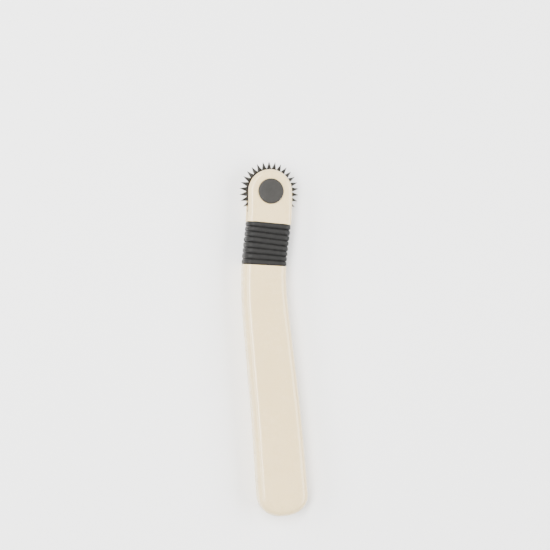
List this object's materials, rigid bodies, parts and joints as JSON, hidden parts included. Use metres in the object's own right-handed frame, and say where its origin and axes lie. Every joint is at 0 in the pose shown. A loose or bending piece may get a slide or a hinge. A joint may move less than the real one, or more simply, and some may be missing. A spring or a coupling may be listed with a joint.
{
  "type": "tracing wheel",
  "caption": "Hand tracing wheel: toothed steel disc that spins in a round-ended fork on a bent, ribbed-grip plastic handle.",
  "frame": {"origin": "middle of the outline, on the rear face that the tool lies on", "axes": "+X along the tool towards the wheel, +Y across it, +Z along the axle from the rear face to the front face"},
  "size_m": [0.14, 0.027, 0.011],
  "materials": {
    "handle_plastic": "ivory, satin moulded",
    "grip_rubber": "matte black, ribbed",
    "wheel_steel": "dark oxide, bright at the tooth tips",
    "hub_plastic": "black acetal",
    "pin_steel": "ground",
    "cap_plastic": "dark grey, satin",
    "washer_plastic": "natural nylon"
  },
  "bodies": {
    "handle": {"front_handle_shell": "handle_plastic", "rear_handle_shell": "handle_plastic", "grip_sleeve": "grip_rubber", "axle_pin": "pin_steel", "front_pivot_cap": "cap_plastic", "rear_pivot_cap": "cap_plastic", "spacer_washers": "washer_plastic"},
    "wheel": {"tracing_wheel": "wheel_steel", "wheel_hub": "hub_plastic"}
  },
  "joints": [
    {"name": "wheel_spin", "type": "hinge", "parent": "handle", "child": "wheel", "pos_m": [0.05817, 0.00168, 0.0055], "axis": [0, 0, 1], "continuous": true}
  ]
}
